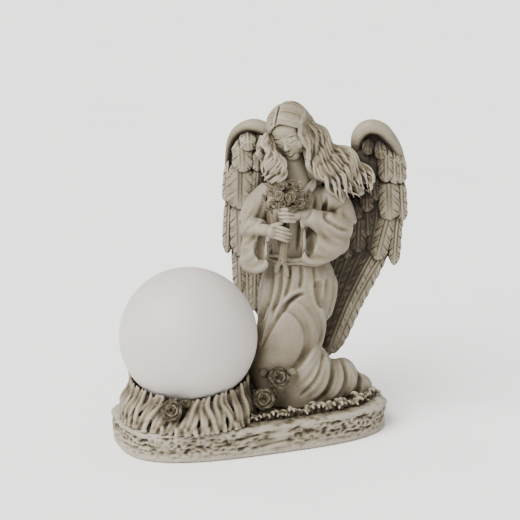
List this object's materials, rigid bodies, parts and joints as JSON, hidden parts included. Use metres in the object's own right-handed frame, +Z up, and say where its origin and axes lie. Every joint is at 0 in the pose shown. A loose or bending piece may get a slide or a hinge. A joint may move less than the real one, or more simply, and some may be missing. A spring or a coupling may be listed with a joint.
{
  "type": "angel figurine with ball lamp",
  "caption": "Kneeling resin angel with spread wings beside a frosted ball lamp on an oval rock plinth, with a battery tray and switch underneath.",
  "frame": {"origin": "under the middle of the whole object, on the ground it stands on", "axes": "+Z up, +X along the plinth's long side from the ball to the angel, +Y to the back; the angel's front faces -Y and the ball"},
  "size_m": [0.2698, 0.1416, 0.296],
  "materials": {
    "resin": "matt stone wash",
    "frosted_shade": "satin frosted",
    "black_plastic": "matt",
    "board": "solder mask",
    "led": "clear",
    "steel": "bright zinc",
    "rubber": "matt",
    "cell": "printed wrap",
    "red_lead": "matt",
    "black_lead": "matt"
  },
  "bodies": {
    "statue": {"plinth": "resin", "grass_collar": "resin", "grass_tufts": "resin", "front_rose": "resin", "lower_rose": "resin", "upper_rose": "resin", "skirt": "resin", "sash": "resin", "bodice": "resin", "neck_band": "resin", "head": "resin", "hair": "resin", "left_sleeve": "resin", "right_sleeve": "resin", "left_hand": "resin", "right_hand": "resin", "bouquet_stems": "resin", "bouquet_flowers": "resin", "left_wing": "resin", "right_wing": "resin", "globe_gasket": "rubber", "lamp_holder": "black_plastic", "holder_screws": "steel", "led_board": "board", "led_lamps": "led", "base_plate": "black_plastic", "base_screws": "steel", "foot_pads": "rubber", "battery_tray": "black_plastic", "batteries": "cell", "battery_springs": "steel", "battery_contacts": "steel", "battery_door": "black_plastic", "door_screw": "steel", "switch_body": "black_plastic", "battery_lead": "red_lead", "switch_lead": "red_lead", "return_lead": "black_lead"},
    "globe": {"globe": "frosted_shade"},
    "switch_slider": {"switch_slider": "black_plastic"}
  },
  "joints": [
    {"name": "globe_twist", "type": "hinge", "parent": "statue", "child": "globe", "pos_m": [-0.0719, -0.0098, 0.02], "axis": [0, 0, 1], "range_deg": [0, 25]},
    {"name": "switch_slide", "type": "slide", "parent": "statue", "child": "switch_slider", "axis": [1, 0, 0], "range_m": [0, 0.004]}
  ]
}
